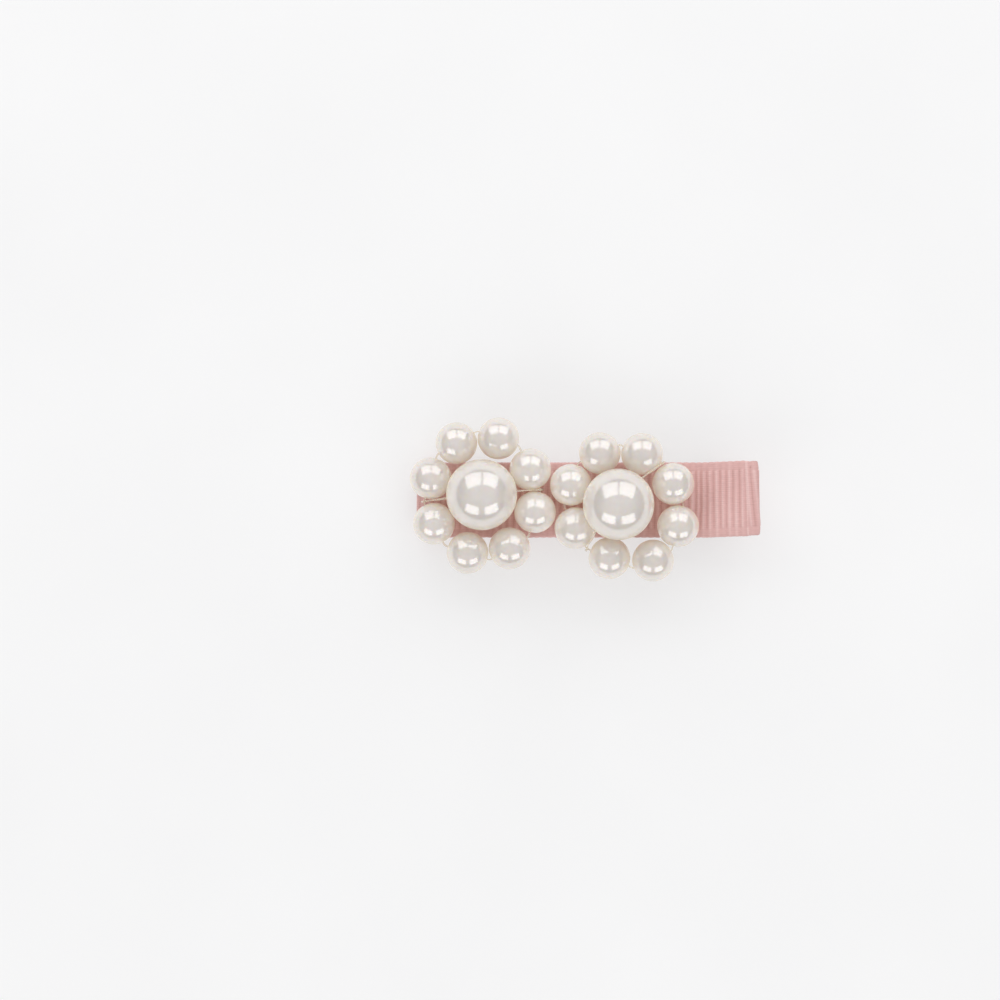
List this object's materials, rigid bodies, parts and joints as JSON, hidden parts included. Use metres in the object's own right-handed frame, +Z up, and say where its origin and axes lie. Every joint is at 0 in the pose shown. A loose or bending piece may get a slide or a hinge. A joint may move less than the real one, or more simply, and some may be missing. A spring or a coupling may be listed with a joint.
{
  "type": "flower hair clip",
  "caption": "Sprung steel alligator hair clip covered in grosgrain ribbon, with pearl flowers glued along the top arm.",
  "frame": {"origin": "on the surface that the clip lies on, under the middle of its outline", "axes": "+X from the jaw tip to the tail that the fingers press, +Z up to the pearls, +Y across"},
  "size_m": [0.0467, 0.0219, 0.0161],
  "materials": {
    "nickel_steel": "bright nickel plate",
    "spring_wire": "drawn wire",
    "grosgrain_ribbon": "ribbed, matt with a slight sheen",
    "pearl": "pearl lacquer",
    "thread": "clear nylon line",
    "glue": "clear glue"
  },
  "bodies": {
    "lower": {"lower_arm": "nickel_steel", "torsion_spring": "spring_wire"},
    "upper": {"upper_arm": "nickel_steel", "pivot_pin": "nickel_steel", "ribbon_cover": "grosgrain_ribbon", "front_petal_1": "pearl", "front_petal_2": "pearl", "front_petal_3": "pearl", "front_petal_4": "pearl", "front_petal_5": "pearl", "front_petal_6": "pearl", "front_petal_7": "pearl", "front_petal_8": "pearl", "front_centre_pearl": "pearl", "front_ring_thread": "thread", "front_cross_thread": "thread", "front_glue": "glue", "rear_petal_1": "pearl", "rear_petal_2": "pearl", "rear_petal_3": "pearl", "rear_petal_4": "pearl", "rear_petal_5": "pearl", "rear_petal_6": "pearl", "rear_petal_7": "pearl", "rear_petal_8": "pearl", "rear_centre_pearl": "pearl", "rear_ring_thread": "thread", "rear_cross_thread": "thread", "rear_glue": "glue"}
  },
  "joints": [
    {"name": "jaw_hinge", "type": "hinge", "parent": "lower", "child": "upper", "pos_m": [0.0125, 0, 0.0024], "axis": [0, 1, 0], "range_deg": [0, 28], "stiffness_Nm_per_rad": 0.06, "springref_deg": -8.59, "deforming": ["torsion_spring"]}
  ]
}
